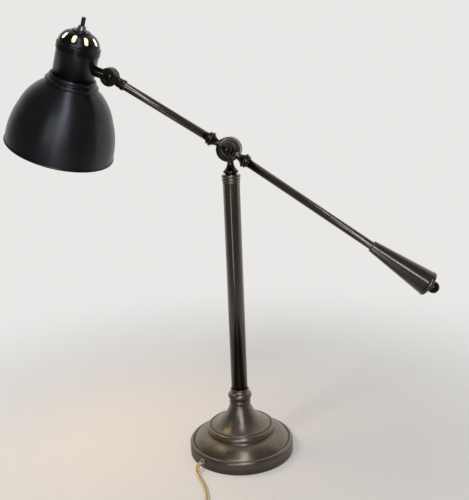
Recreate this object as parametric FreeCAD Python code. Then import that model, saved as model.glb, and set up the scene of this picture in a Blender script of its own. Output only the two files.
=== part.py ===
"""Counterweight balance desk lamp, one solid per piece, in millimetres.

The origin is the middle of the base's underside, +Z is up, and the arm lies
in a plane parallel to XZ: shade towards -X, counterweight towards +X, and the
hub's ball knob towards -Y.
"""
import FreeCAD
import Part
import math
import os

V = FreeCAD.Vector
X_AXIS = V(1, 0, 0)
Y_AXIS = V(0, 1, 0)
Z_AXIS = V(0, 0, 1)

# clearances
RUNNING = 0.05          # radial play of a turning fit
SEAT = 0.05             # play between pieces that are screwed together
LEAD_PLAY = 0.2         # play between a lead and the bore it lies in
LEAD_GAP = 0.3          # between the bushing's face and the free lead

# base
base_radius = 88.9
base_wall = 1.4
base_wall_height = 16.5
rim_bead_radius = 82.6
rim_bead_top = 22.4
step_radius = 58.5
step_foot = 37.0
step_top = 45.0
flare_radius = 51.8
flare_foot = 48.0
neck_radius = 17.3
neck_top = 92.0
shell_lift = 0.8
pad_thickness = 2.4
pad_inset = 2.0
weight_thickness = 14.0
weight_hub_radius = 24.0
weight_hub_height = 14.0
weight_gap = 1.5

# column
rod_pipe_radius = 5.0
rod_pipe_bore = 3.2
column_radius = 13.75
column_wall = 1.5
column_length = 350.5
foot_bead_radius = 20.2
foot_bead_rise = 9.0
foot_collar_height = 21.0
collar_radius = 15.5
top_collar_bulge = 11.0
top_collar_height = 13.5
socket_depth = 7.0

# hub
neck_rise = 40.3
eye_radius = 19.2
eye_thickness = 14.0
friction_washer = 1.2
arm_disc_thickness = 9.0
boss_radius = 13.2
boss_thickness = 14.0
bolt_radius = 4.0
knob_radius = 8.4
stem_radius = 5.2
neck_ring_radius = 12.3
lug_width = 7.0
lug_angle = 54.0

# arm
shade_arm_rise = 32.8
weight_arm_drop = 35.2
rod_radius = 6.5
rod_wall = 1.5
rod_start = 26.0
ferrule_radius = 11.5
ferrule_end = 39.0
shade_rod_end = 200.0
weight_start = 268.0
weight_length = 102.0
weight_small_radius = 9.1
weight_large_radius = 19.6
weight_flange = 6.0
finial_radius = 9.6

# knuckle
knuckle_distance = 218.0
knuckle_radius = 14.4
knuckle_half = 7.0
knuckle_gap = 0.6
sleeve_radius = 8.5
sleeve_end = 28.0
stub_radius = 8.0
screw_radius = 3.0
screw_head_radius = 6.2
eye_recess_radius = 9.4
swivel_twist = 12.5
shade_tilt = -10.5

# shade
shade_offset = 60.0
housing_radius = 33.2
housing_wall = 1.0
housing_foot = -27.0
housing_top = 28.5
cap_radius = 34.5
cap_skirt_foot = 20.0
cap_edge = 30.0
cap_wall = 1.0
dome_top = 50.0
collar_disc_radius = 14.5
slot_count = 9
slot_width = 6.6
slot_length = 13.5
slot_radius = 26.5
slot_drop = 6.5
slot_lean = 48.0
slot_first_angle = -3.0
bell_wall = 0.6
bell_rim_depth = 146.0
bell_rim_radius = 89.0
rim_roll = 1.4
bell_neck_radius = 44.5
bell_neck_depth = 37.0

# light
socket_radius = 19.0
socket_top = 12.0
socket_mouth = -32.0
bulb_radius = 30.0
bulb_base_radius = 13.0
bulb_middle = -80.0
glass_wall = 0.8
bulb_base_wall = 0.8

# switch
switch_knob_radius = 3.3
switch_knob_length = 13.0
switch_nut_radius = 7.6
switch_nut_height = 7.5
switch_shaft_radius = 1.8

# lead
cord_width = 7.6
bushing_height = 11.5
bushing_radius = 5.9
bushing_direction = -127.0
coil_centre_x = 25.0
coil_centre_y = -243.0
coil_middle_radius = 38.2
coil_pitch = 8.3
coil_rings = 4

# what follows from them
weight_edge = base_radius - base_wall - weight_gap
foot_bead_height = neck_top + foot_bead_rise
column_foot = neck_top + foot_collar_height
column_top = column_foot + column_length
collar_height = column_top + top_collar_bulge
neck_foot = column_top + top_collar_height
hub_height = neck_foot + neck_rise
arm_plane = -(eye_thickness / 2 + friction_washer + 2 * RUNNING + boss_thickness / 2)
hub_middle = V(0, arm_plane, hub_height)


def save(name, shape):
    """Write one piece and print how many solids it has and their volume."""
    shape.exportStep("parts/%s.step" % name)
    print(name, len(shape.Solids), round(shape.Volume, 1), shape.isValid())


def outline(start, steps):
    """Edges through (r, z) points: a pair is a line, four numbers are an arc
    through the first pair to the second."""
    edges = []
    here = V(start[0], 0, start[1])
    for step in steps:
        there = V(step[-2], 0, step[-1])
        if len(step) == 4:
            edges.append(Part.Arc(here, V(step[0], 0, step[1]), there).toShape())
        else:
            edges.append(Part.LineSegment(here, there).toShape())
        here = there
    first = V(start[0], 0, start[1])
    if (here - first).Length > 1e-6:
        edges.append(Part.LineSegment(here, first).toShape())
    return edges


def turned(start, *steps):
    """A piece turned about Z from a closed outline."""
    wire = Part.Wire(outline(start, steps))
    return Part.Face(wire).revolve(V(0, 0, 0), Z_AXIS, 360)


def rod(radius, low, high, bore=0.0):
    """A round bar, or a tube, along Z."""
    bar = Part.makeCylinder(radius, high - low, V(0, 0, low))
    if bore:
        bar = bar.cut(Part.makeCylinder(bore, high - low, V(0, 0, low)))
    return bar


def cross_rod(radius, low, high):
    """A round bar along Y."""
    return Part.makeCylinder(radius, high - low, V(0, low, 0), Y_AXIS)


def hexagon(across, low, high, bore):
    """A hex nut along Z."""
    corners = []
    for side in range(7):
        turn = math.radians(60 * side)
        corners.append(V(math.cos(turn), math.sin(turn), 0) * (across / math.sqrt(3)))
    face = Part.Face(Part.makePolygon(corners))
    nut = face.extrude(V(0, 0, high - low))
    nut.translate(V(0, 0, low))
    return nut.cut(rod(bore, low, high))


def placed(shape, placement):
    """A copy of a piece, moved from its own frame to the lamp's."""
    moved = shape.copy()
    moved.Placement = placement.multiply(moved.Placement)
    return moved


# frames of the arm, the knuckle and the shade
shade_arm_frame = FreeCAD.Placement(hub_middle, FreeCAD.Rotation(Y_AXIS, shade_arm_rise - 90))
weight_arm_frame = FreeCAD.Placement(hub_middle, FreeCAD.Rotation(Y_AXIS, 90 + weight_arm_drop))
rise = math.radians(shade_arm_rise)
knuckle_middle = hub_middle + V(-math.cos(rise), 0, math.sin(rise)) * knuckle_distance
arm_turn = FreeCAD.Rotation(Y_AXIS, shade_arm_rise)
twist = FreeCAD.Rotation(X_AXIS, swivel_twist)
tilt = FreeCAD.Rotation(Y_AXIS, shade_tilt)
knuckle_frame = FreeCAD.Placement(knuckle_middle, arm_turn.multiply(twist))
hinge_frame = FreeCAD.Placement(knuckle_middle, arm_turn.multiply(twist).multiply(tilt))
shade_frame = hinge_frame.multiply(FreeCAD.Placement(V(-shade_offset, 0, 0), FreeCAD.Rotation()))


# ---- base -----------------------------------------------------------------

def base_shell():
    """Spun cover: upright wall, rim bead, broad step, second bead and flare."""
    w = base_wall
    outer = [
        (base_radius, base_wall_height),
        (base_radius - 1.4, base_wall_height + 4.6, rim_bead_radius + 1.0, rim_bead_top),
        (rim_bead_radius, rim_bead_top - 2.0),
        (rim_bead_radius - 1.2, rim_bead_top + 0.4),
        (step_radius + 13.0, rim_bead_top + 9.6, step_radius + 1.0, step_foot),
        (step_radius, step_foot + 1.2),
        (step_radius, step_top - 4.5),
        (step_radius - 1.6, step_top + 1.0, flare_radius + 1.2, flare_foot),
        (flare_radius, flare_foot - 1.8),
        (flare_radius - 1.0, flare_foot + 0.6),
        (27.0, 66.0, neck_radius + 0.4, neck_top - 8.0),
        (neck_radius, neck_top - 6.0),
        (neck_radius + 0.8, neck_top - 3.0, neck_radius, neck_top),
    ]
    inner = [
        (rod_pipe_radius + SEAT, neck_top),
        (rod_pipe_radius + SEAT, neck_top - w - 1.0),
        (neck_radius - w, neck_top - w - 1.0),
        (neck_radius - w, neck_top - 8.0),
        (27.0 - w, 66.0 - w, flare_radius - 1.0 - w, flare_foot - w),
        (step_radius - w, step_top - 4.5),
        (step_radius - w, step_foot - 0.4),
        (step_radius + 13.0 - w, rim_bead_top + 9.0 - w, rim_bead_radius - w, rim_bead_top - w - 0.6),
        (base_radius - w, base_wall_height - 1.0),
        (base_radius - w, shell_lift),
    ]
    return turned((base_radius, shell_lift), *(outer + inner))


def base_weight():
    """Cast-iron disc with a raised hub that the pipe is bolted through."""
    edge = weight_edge
    low = pad_thickness
    high = low + weight_thickness
    recess = 13.0
    return turned(
        (recess, low),
        (edge, low),
        (edge, high - 4.0),
        (edge - 6.0, high),
        (weight_hub_radius + 4.0, high),
        (weight_hub_radius, high + weight_hub_height),
        (rod_pipe_radius + SEAT, high + weight_hub_height),
        (rod_pipe_radius + SEAT, low + 9.0),
        (recess, low + 9.0),
    )


bushing_turn = FreeCAD.Rotation(Z_AXIS, bushing_direction)
bushing_frame = FreeCAD.Placement(V(0, 0, bushing_height), bushing_turn)
bushing_bore = 2.4
bushing_outside = base_radius + 3.0


def cord_bushing():
    """Moulded bushing snapped into the wall: collar outside, snap ring inside."""
    turned_bushing = turned(
        (0, base_radius + 0.3),
        (bushing_radius, base_radius + 0.3),
        (bushing_radius, bushing_outside - 1.0),
        (bushing_radius - 1.0, bushing_outside),
        (0, bushing_outside),
    )
    shank = rod(bushing_radius - 1.2, weight_edge - 2.2, base_radius + 0.3)
    hole = rod(bushing_bore, weight_edge - 2.2, bushing_outside)
    bushing = turned_bushing.fuse(shank).cut(hole)
    return placed(bushing, bushing_frame.multiply(FreeCAD.Placement(V(), FreeCAD.Rotation(Y_AXIS, 90))))


def bushing_hole(radius, low, high):
    """The drilled hole that the bushing sits in."""
    hole = rod(radius, low, high)
    return placed(hole, bushing_frame.multiply(FreeCAD.Placement(V(), FreeCAD.Rotation(Y_AXIS, 90))))


os.makedirs("parts", exist_ok=True)

shank_hole = bushing_hole(bushing_radius - 1.2 + SEAT, 40.0, base_radius + 5.0)
flat_for_collar = bushing_hole(bushing_radius + 1.5, base_radius + 0.25, base_radius + 9.0)
save("base_shell", base_shell().cut(shank_hole).cut(flat_for_collar))
lead_way = bushing_hole(bushing_radius, 14.0, base_radius + 5.0)
save("base_weight", base_weight().cut(lead_way))
save("base_pad", rod(base_radius - pad_inset, 0, pad_thickness - SEAT))
save("cord_bushing", cord_bushing())

nut_height = 6.0
washer_height = 1.6
washer_top = pad_thickness + 9.0
save("base_washer", rod(11.5, washer_top - washer_height, washer_top, rod_pipe_radius + SEAT))
save("base_nut", hexagon(17.0, washer_top - washer_height - nut_height, washer_top - washer_height,
                         rod_pipe_radius + SEAT))

# ---- column ---------------------------------------------------------------

pipe_low = pad_thickness + 0.6
pipe_high = neck_foot + 5.0
save("threaded_pipe", rod(rod_pipe_radius, pipe_low, pipe_high, rod_pipe_bore))

foot_collar = turned(
    (rod_pipe_radius + SEAT, neck_top),
    (neck_radius - 0.8, neck_top),
    (neck_radius - 0.8, neck_top + 2.4),
    (foot_bead_radius, foot_bead_height, neck_radius - 1.6, foot_bead_height + 5.6),
    (column_radius + 0.8, column_foot - 3.2),
    (column_radius + 2.2, column_foot - 1.6, column_radius + 0.8, column_foot),
    (column_radius + SEAT, column_foot),
    (column_radius + SEAT, column_foot - socket_depth),
    (rod_pipe_radius + SEAT, column_foot - socket_depth),
)
save("foot_collar", foot_collar)
save("column_tube", rod(column_radius, column_foot - socket_depth, column_top + socket_depth,
                        column_radius - column_wall))

top_collar = turned(
    (column_radius + SEAT, column_top),
    (column_radius + 0.6, column_top),
    (column_radius + 0.6, column_top + 1.8),
    (column_radius + 0.25, column_top + 2.4),
    (column_radius + 0.25, column_top + 3.2),
    (column_radius + 1.2, column_top + 5.2, column_radius + 0.5, column_top + 7.2),
    (column_radius + 0.5, column_top + 8.2),
    (collar_radius, collar_height, column_radius + 0.5, neck_foot),
    (rod_pipe_radius + SEAT, neck_foot),
    (rod_pipe_radius + SEAT, column_top + socket_depth),
    (column_radius + SEAT, column_top + socket_depth),
)
save("top_collar", top_collar)

# ---- hub ------------------------------------------------------------------

ring_low = neck_foot + 2.4
ring_high = neck_foot + 6.4
stem = turned(
    (0, neck_foot),
    (8.6, neck_foot),
    (9.4, neck_foot + 1.2, 8.6, ring_low),
    (neck_ring_radius - 0.8, ring_low),
    (neck_ring_radius, ring_low + 2.0, neck_ring_radius - 0.8, ring_high),
    (7.4, ring_high + 5.0, stem_radius, ring_high + 12.6),
    (stem_radius, hub_height),
    (0, hub_height),
)
neck_disc = cross_rod(eye_radius, -eye_thickness / 2, eye_thickness / 2)
neck_disc.translate(V(0, 0, hub_height))
neck_disc = neck_disc.makeFillet(1.4, [e for e in neck_disc.Edges if e.Closed])
bolt_hole = cross_rod(bolt_radius + SEAT, -30, 30)
bolt_hole.translate(V(0, 0, hub_height))
pipe_thread = rod(rod_pipe_radius + SEAT, neck_foot - 1, pipe_high + 0.5)
lead_passage = rod(rod_pipe_bore, neck_foot - 1, hub_height - bolt_radius - 4.0)
hub_neck = stem.fuse(neck_disc).removeSplitter().cut(bolt_hole).cut(pipe_thread).cut(lead_passage)
save("hub_neck", hub_neck)

washer = cross_rod(boss_radius, -eye_thickness / 2 - friction_washer, -eye_thickness / 2)
washer = washer.cut(cross_rod(bolt_radius + SEAT, -40, 40))
washer.translate(V(0, 0, hub_height))
save("hub_friction_washer", washer)

front_face = arm_plane - boss_thickness / 2
recess_depth = 2.2
knob_seat = front_face + recess_depth - 0.1
knob_middle = knob_seat - 2.2 - knob_radius * 0.86
bolt_head = 2.6


def hub_bolt():
    """Clamp bolt: low round head behind the neck, shank through both eyes."""
    behind = eye_thickness / 2
    shank = cross_rod(bolt_radius, knob_middle, behind)
    head = turned((0, 0), (8.4, 0), (8.4, bolt_head * 0.4), (5.4, bolt_head * 0.9, 1.0, bolt_head), (0, bolt_head))
    head.rotate(V(), X_AXIS, -90)
    head.translate(V(0, behind, 0))
    bolt = shank.fuse(head)
    bolt.translate(V(0, 0, hub_height))
    return bolt


save("hub_bolt", hub_bolt())

ball = Part.makeSphere(knob_radius, V(0, knob_middle, 0))
knob_foot = cross_rod(boss_radius * 0.56, knob_seat - 1.2, knob_seat)
knob_neck = cross_rod(bolt_radius + 1.6, knob_middle, knob_seat)
knob_bore = cross_rod(bolt_radius + SEAT, knob_middle - SEAT, knob_seat + 1)
hub_knob = ball.fuse([knob_foot, knob_neck]).cut(knob_bore)
hub_knob.translate(V(0, 0, hub_height))
save("hub_knob", hub_knob)


def ferrule():
    """One turned ferrule of the arm casting, along Z from the hub's middle."""
    out = turned(
        (0, 0),
        (stem_radius + 0.2, 0),
        (stem_radius, 18.0),
        (6.4, 24.0, ferrule_radius - 1.8, 28.4),
        (ferrule_radius - 0.8, 28.8),
        (ferrule_radius, 30.6, ferrule_radius - 0.8, 32.4),
        (ferrule_radius - 2.0, 32.8),
        (ferrule_radius - 2.0, 33.8),
        (ferrule_radius - 0.9, 35.2, ferrule_radius - 2.0, 36.6),
        (rod_radius + 1.4, 37.0),
        (rod_radius + 1.0, ferrule_end),
        (0, ferrule_end),
    )
    socket = rod(rod_radius + SEAT, rod_start, ferrule_end + 1)
    return out.cut(socket)


def arm_hub():
    """Arm casting: disc, boss, two lugs and a ferrule on each side."""
    half = arm_disc_thickness / 2
    disc = cross_rod(eye_radius, -half, half)
    disc = disc.makeFillet(1.3, [e for e in disc.Edges if e.Closed])
    boss = cross_rod(boss_radius, -boss_thickness / 2, boss_thickness / 2)
    front_edge = [e for e in boss.Edges if e.Closed and e.CenterOfMass.y < 0]
    boss = boss.makeFillet(1.0, front_edge)
    casting = disc.fuse(boss)
    for side in (0, 180):
        lug = Part.makeBox(eye_radius - 3.0 - boss_radius * 0.7, 3.0, lug_width,
                           V(boss_radius * 0.7, -half - 1.6, -lug_width / 2))
        lug_end = cross_rod(lug_width / 2, -half - 1.6, -half + 1.4)
        lug_end.translate(V(eye_radius - 3.0, 0, 0))
        lug = lug.fuse(lug_end).removeSplitter()
        lug.rotate(V(), Y_AXIS, lug_angle + side)
        casting = casting.fuse(lug)
    casting.translate(hub_middle)
    for frame in (shade_arm_frame, weight_arm_frame):
        casting = casting.fuse(placed(ferrule(), frame))
    recess = cross_rod(boss_radius - 3.2, -boss_thickness / 2 - 1, -boss_thickness / 2 + recess_depth)
    bore = cross_rod(bolt_radius + RUNNING, -40, 40)
    cuts = recess.fuse(bore)
    cuts.translate(hub_middle)
    return casting.removeSplitter().cut(cuts)


save("arm_hub", arm_hub())

# ---- arm ------------------------------------------------------------------

shade_rod = rod(rod_radius, rod_start, shade_rod_end, rod_radius - rod_wall)
save("arm_rod_shade_side", placed(shade_rod, shade_arm_frame))
weight_rod_end = weight_start + 60.0
weight_rod = rod(rod_radius, rod_start, weight_rod_end, rod_radius - rod_wall)
save("arm_rod_weight_side", placed(weight_rod, weight_arm_frame))

cone_end = weight_start + weight_length
flange_end = cone_end + weight_flange
weight = turned(
    (0, weight_start),
    (weight_small_radius - 1.0, weight_start),
    (weight_small_radius, weight_start + 1.2),
    (weight_large_radius, cone_end - 1.2),
    (weight_large_radius - 1.3, cone_end - 0.5),
    (weight_large_radius, cone_end + 0.2),
    (weight_large_radius + 0.9, cone_end + weight_flange / 2, weight_large_radius - 1.2, flange_end),
    (0, flange_end),
)
finial_middle = flange_end + finial_radius * 0.72
stud_radius = 3.0
weight = weight.cut(rod(rod_radius + SEAT, weight_start - 1, weight_rod_end + 0.5))
weight = weight.cut(rod(stud_radius + SEAT, flange_end - 14.0, flange_end + 1))
save("counterweight", placed(weight, weight_arm_frame))

finial = Part.makeSphere(finial_radius, V(0, 0, finial_middle))
finial = finial.common(rod(finial_radius + 1, flange_end + SEAT, flange_end + 3 * finial_radius))
finial = finial.fuse(rod(stud_radius, flange_end - 13.0, finial_middle)).removeSplitter()
save("finial_ball", placed(finial, weight_arm_frame))

# ---- knuckle --------------------------------------------------------------

eye_face = knuckle_gap / 2
sleeve_start = knuckle_radius + 0.8
head_recess = 2.4
washer_thickness = knuckle_gap - 2 * RUNNING


def knuckle_rod_eye():
    """Rear half eye with the sleeve that turns on the rod's end."""
    eye = cross_rod(knuckle_radius, eye_face, eye_face + knuckle_half)
    eye = eye.makeFillet(1.2, [e for e in eye.Edges if e.Closed and e.CenterOfMass.y > 3])
    bar = turned(
        (0, sleeve_start),
        (sleeve_radius - 0.8, sleeve_start),
        (sleeve_radius - 0.8, sleeve_end - 6.0),
        (sleeve_radius, sleeve_end - 5.2),
        (sleeve_radius, sleeve_end - 0.8),
        (sleeve_radius - 0.6, sleeve_end),
        (0, sleeve_end),
    )
    bridge = rod(sleeve_radius - 0.8, knuckle_radius * 0.6, sleeve_start + 0.01)
    bar = bar.fuse(bridge.common(Part.makeBox(40, 20, 60, V(-20, eye_face, 0))))
    socket = rod(rod_radius + RUNNING, knuckle_distance - shade_rod_end - 0.3, sleeve_end + 1)
    way = rod(rod_radius - rod_wall - 1.0, sleeve_start + 0.8, sleeve_end + 1)
    bar = bar.cut(socket).cut(way)
    bar.rotate(V(), Y_AXIS, 90)
    nut_recess = cross_rod(6.4, eye_face + knuckle_half - 2.6, 40)
    return eye.fuse(bar).removeSplitter().cut(cross_rod(screw_radius + SEAT, -30, 30)).cut(nut_recess)


save("knuckle_rod_eye", placed(knuckle_rod_eye(), knuckle_frame))

knuckle_washer = cross_rod(knuckle_radius - 2.4, -eye_face + RUNNING, eye_face - RUNNING)
knuckle_washer = knuckle_washer.cut(cross_rod(screw_radius + SEAT, -30, 30))
save("knuckle_washer", placed(knuckle_washer, knuckle_frame))

head_seat = -eye_face - knuckle_half + head_recess
head_height = 2.8
screw_head = turned((0, 0), (screw_head_radius, 0), (screw_head_radius, 0.9),
                    (screw_head_radius * 0.7, head_height * 0.84, 0, head_height))
screw_head.rotate(V(), X_AXIS, 90)
screw_head.translate(V(0, head_seat - RUNNING, 0))
knuckle_screw = screw_head.fuse(cross_rod(screw_radius, head_seat - RUNNING, eye_face + knuckle_half - 0.3))
driver_slot = Part.makeBox(2 * screw_head_radius + 2, 1.3, 1.2,
                           V(-screw_head_radius - 1, head_seat - head_height - 0.4, -0.6))
save("knuckle_screw", placed(knuckle_screw.cut(driver_slot), knuckle_frame))

knuckle_nut = hexagon(10.0, 0, 2.4, screw_radius + SEAT)
knuckle_nut.rotate(V(), X_AXIS, -90)
knuckle_nut.translate(V(0, eye_face + knuckle_half - 2.6, 0))
save("knuckle_nut", placed(knuckle_nut, knuckle_frame))

# ---- shade ----------------------------------------------------------------

housing_inside = housing_radius - housing_wall
stub_end = shade_offset - housing_radius
nipple_radius = 5.0
stub_nut_height = 4.0


def knuckle_shade_eye():
    """Front half eye with the stub that is screwed to the housing."""
    eye = cross_rod(knuckle_radius, -eye_face - knuckle_half, -eye_face)
    eye = eye.makeFillet(1.6, [e for e in eye.Edges if e.Closed and e.CenterOfMass.y < -3])
    stub = rod(stub_radius, sleeve_start, shade_offset - housing_radius + 1.5)
    bridge = rod(stub_radius, knuckle_radius * 0.6, sleeve_start + 0.01)
    bridge = bridge.common(Part.makeBox(40, 20, 60, V(-20, -20 - eye_face, 0)))
    nipple = rod(nipple_radius, sleeve_start, shade_offset - housing_inside + stub_nut_height + 2.0)
    stub = stub.fuse(bridge)
    stub.rotate(V(), Y_AXIS, -90)
    nipple.rotate(V(), Y_AXIS, -90)
    seat = rod(housing_radius + SEAT, -60, 60)
    seat.translate(V(-shade_offset, 0, 0))
    whole = eye.fuse(stub).cut(seat).fuse(nipple).removeSplitter()
    way = rod(nipple_radius - 1.8, sleeve_start + 1.0, 60)
    way.rotate(V(), Y_AXIS, -90)
    recess = cross_rod(eye_recess_radius, -40, head_seat)
    return whole.cut(way).cut(recess).cut(cross_rod(screw_radius + RUNNING, -30, 30))


save("knuckle_shade_eye", placed(knuckle_shade_eye(), hinge_frame))

housing = turned(
    (housing_radius, housing_foot),
    (housing_radius, housing_top),
    (housing_inside, housing_top),
    (housing_inside, housing_foot),
)
nipple_hole = rod(nipple_radius + SEAT, 0, 60)
nipple_hole.rotate(V(), Y_AXIS, 90)
save("socket_housing", placed(housing.cut(nipple_hole), shade_frame))

stub_nut = hexagon(14.0, housing_inside - stub_nut_height - 1.4, housing_inside - 1.4, nipple_radius + SEAT)
stub_nut.rotate(V(), Y_AXIS, 90)
save("stub_nut", placed(stub_nut, shade_frame))


def vent_cap():
    """Spun cap over the housing: skirt, shoulder and slotted dome."""
    w = cap_wall
    low = cap_radius - w
    cap = turned(
        (cap_radius, cap_skirt_foot),
        (cap_radius, cap_edge - 0.8),
        (cap_radius - 0.8, cap_edge),
        (housing_radius - 0.8, cap_edge + 0.6),
        (housing_radius - 6.4, dome_top - 6.7, collar_disc_radius, dome_top),
        (rod_pipe_radius + SEAT, dome_top),
        (rod_pipe_radius + SEAT, dome_top - w),
        (collar_disc_radius, dome_top - w),
        (housing_radius - 7.2, dome_top - 7.5, housing_radius - 0.9 - w, cap_edge - 0.6),
        (low, cap_edge - 1.0),
        (low, cap_skirt_foot),
    )
    for number in range(slot_count):
        slot = Part.makeBox(slot_length - slot_width, slot_width, 30,
                            V(-(slot_length - slot_width) / 2, -slot_width / 2, -15))
        for end in (-1, 1):
            slot = slot.fuse(Part.makeCylinder(slot_width / 2, 30,
                                               V(end * (slot_length - slot_width) / 2, 0, -15)))
        slot.rotate(V(), Y_AXIS, slot_lean)
        slot.translate(V(slot_radius, 0, dome_top - slot_drop))
        slot.rotate(V(), Z_AXIS, slot_first_angle + 360.0 / slot_count * number)
        cap = cap.cut(slot)
    return cap


save("vent_cap", placed(vent_cap(), shade_frame))

collar_top = dome_top + 2.0
collar_disc = turned(
    (rod_pipe_radius + SEAT, dome_top),
    (collar_disc_radius, dome_top),
    (collar_disc_radius, collar_top - 0.6),
    (collar_disc_radius - 0.6, collar_top),
    (rod_pipe_radius + SEAT, collar_top),
)
save("cap_collar", placed(collar_disc, shade_frame))


def bell():
    """Spun shade: two neck rings, a domed bell and a rolled rim."""
    w = bell_wall
    rim = -bell_rim_depth
    neck = housing_radius + SEAT
    waist = (76.0, -80.0)
    return turned(
        (neck, -20.0),
        (neck + 3.2, -20.6),
        (neck + 4.4, -23.4, neck + 3.6, -26.2),
        (neck + 4.8, -27.4),
        (neck + 8.4, -29.0),
        (neck + 9.4, -31.8, neck + 8.6, -34.4),
        (bell_neck_radius, -bell_neck_depth),
        (63.5, -56.0, waist[0], waist[1]),
        (85.6, -109.0, bell_rim_radius, rim + 2 * rim_roll),
        (bell_rim_radius + rim_roll, rim + rim_roll, bell_rim_radius, rim),
        (bell_rim_radius - w, rim),
        (bell_rim_radius - w, rim + 2 * rim_roll),
        (85.6 - w, -109.0 + 0.2, waist[0] - 0.8 * w, waist[1] - 0.5 * w),
        (63.5 - 0.6 * w, -56.0 - 0.8 * w, bell_neck_radius - 0.4 * w, -bell_neck_depth - w),
        (neck + 1.2, -34.6),
        (neck, -33.0),
    )


save("shade_bell", placed(bell(), shade_frame))

# ---- light and switch -----------------------------------------------------

socket_wall = 4.5
lamp_socket = turned(
    (0, socket_top),
    (socket_radius - 2.0, socket_top),
    (socket_radius, socket_top - 3.0),
    (socket_radius, socket_mouth),
    (socket_radius - socket_wall, socket_mouth),
    (socket_radius - socket_wall, socket_top - 10.0),
    (0, socket_top - 10.0),
)
save("lamp_socket", placed(lamp_socket, shade_frame))

strap_width = 12.0
strap_thickness = 1.6
strap_high = socket_top + SEAT + strap_thickness
strap = Part.makeBox(2 * housing_inside, strap_width, strap_thickness,
                     V(-housing_inside, -strap_width / 2, socket_top + SEAT))
strap = strap.common(rod(housing_inside - SEAT, 0, 40))
for side in (-1, 1):
    ear = Part.makeBox(strap_thickness, strap_width, 8.0,
                       V(side * (housing_inside - 2.2) - strap_thickness / 2, -strap_width / 2, strap_high - 8.0))
    strap = strap.fuse(ear)
strap = strap.removeSplitter()
strap.rotate(V(), Z_AXIS, 90)
save("socket_strap", placed(strap, shade_frame))

bulb_top = socket_top - 10.4
base_low = socket_mouth + 4.0
bulb_base = turned(
    (0, bulb_top),
    (bulb_base_radius, bulb_top),
    (bulb_base_radius, base_low),
    (bulb_base_radius - bulb_base_wall, base_low),
    (bulb_base_radius - bulb_base_wall, bulb_top - 2.0),
    (0, bulb_top - 2.0),
)
save("bulb_base", placed(bulb_base, shade_frame))
glass_top = base_low - 0.1
glass_neck = bulb_base_radius + 0.5
globe = bulb_radius * math.sqrt(0.5)
shoulder = (24.0, bulb_middle + 22.0)
glass = glass_wall * math.sqrt(0.5)
bulb_glass = turned(
    (glass_neck, glass_top),
    (glass_neck + 1.0, socket_mouth - 6.0),
    (shoulder[0], shoulder[1], bulb_radius, bulb_middle),
    (globe, bulb_middle - globe, 0, bulb_middle - bulb_radius),
    (0, bulb_middle - bulb_radius + glass_wall),
    (globe - glass, bulb_middle - globe + glass, bulb_radius - glass_wall, bulb_middle),
    (shoulder[0] - glass, shoulder[1] - glass, glass_neck + 1.0 - glass_wall, socket_mouth - 6.0),
    (glass_neck - glass_wall, glass_top),
)
save("bulb_glass", placed(bulb_glass, shade_frame))

nut_low = collar_top
nut_high = nut_low + switch_nut_height
bushing_top = nut_high - 1.0
switch_body = Part.makeBox(18.0, 18.0, 20.0, V(-9.0, -9.0, dome_top - cap_wall - 21.0))
switch_body = switch_body.makeFillet(1.5, switch_body.Edges)
switch_body = switch_body.fuse(rod(rod_pipe_radius, dome_top - cap_wall - 3.0, bushing_top))
switch_body = switch_body.cut(rod(switch_shaft_radius + RUNNING, dome_top - 8.0, bushing_top + 1))
save("switch_body", placed(switch_body, shade_frame))

switch_nut = turned(
    (rod_pipe_radius + SEAT, nut_low),
    (switch_nut_radius, nut_low),
    (switch_nut_radius, nut_low + 1.6),
    (switch_knob_radius + 2.2, nut_high),
    (switch_knob_radius + RUNNING, nut_high),
    (switch_knob_radius + RUNNING, bushing_top),
    (rod_pipe_radius + SEAT, bushing_top),
)
save("switch_cone_nut", placed(switch_nut, shade_frame))

knob_low = bushing_top + RUNNING
switch_knob = rod(switch_knob_radius, knob_low, nut_high + switch_knob_length)
switch_knob = switch_knob.makeFillet(0.5, [switch_knob.Edges[0], switch_knob.Edges[2]])
switch_knob = switch_knob.fuse(rod(switch_shaft_radius, dome_top - 7.0, knob_low + 1))
save("switch_knob", placed(switch_knob, shade_frame))

# ---- lead -----------------------------------------------------------------

lead_radius = 2.3


def tube(points, radius, name, first_gap=0.0):
    """A round tube on straight runs joined by tangent arcs, each as large as
    its two runs allow; prints the radii and the length."""
    corners = [V(*p) for p in points]
    edges = []
    here = corners[0]
    radii = []
    for before, corner, after in zip(corners, corners[1:], corners[2:]):
        back = (before - corner).normalize()
        on = (after - corner).normalize()
        turn = math.pi - back.getAngle(on)
        shorter = min((before - corner).Length, (after - corner).Length)
        bend = 0.45 * shorter / math.tan(turn / 2)
        radii.append(round(bend, 1))
        enter = corner + back * (0.45 * shorter)
        leave = corner + on * (0.45 * shorter)
        middle = (back + on).normalize()
        centre = corner + middle * (bend / math.cos(turn / 2))
        edges.append(Part.LineSegment(here, enter).toShape())
        edges.append(Part.Arc(enter, centre - middle * bend, leave).toShape())
        here = leave
    edges.append(Part.LineSegment(here, corners[-1]).toShape())
    path = Part.Wire(edges)
    start = corners[0]
    along = (corners[1] - corners[0]).normalize()
    section = Part.Wire(Part.makeCircle(radius, start, along))
    solid = path.makePipeShell([section], True, False)
    print(name, "radii", radii, "length", round(path.Length, 1),
          "volume ratio", round(solid.Volume / (math.pi * radius ** 2 * path.Length), 4))
    return solid, path.Length


out = math.radians(bushing_direction)
exit_reach = bushing_outside + LEAD_GAP
exit_point = V(exit_reach * math.cos(out), exit_reach * math.sin(out), bushing_height)

column_lead = rod(lead_radius, pipe_low + 1.0, pipe_high - 1.0)
column_lead.translate(V(rod_pipe_bore - lead_radius - LEAD_PLAY, 0, 0))
save("column_lead", column_lead)

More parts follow.
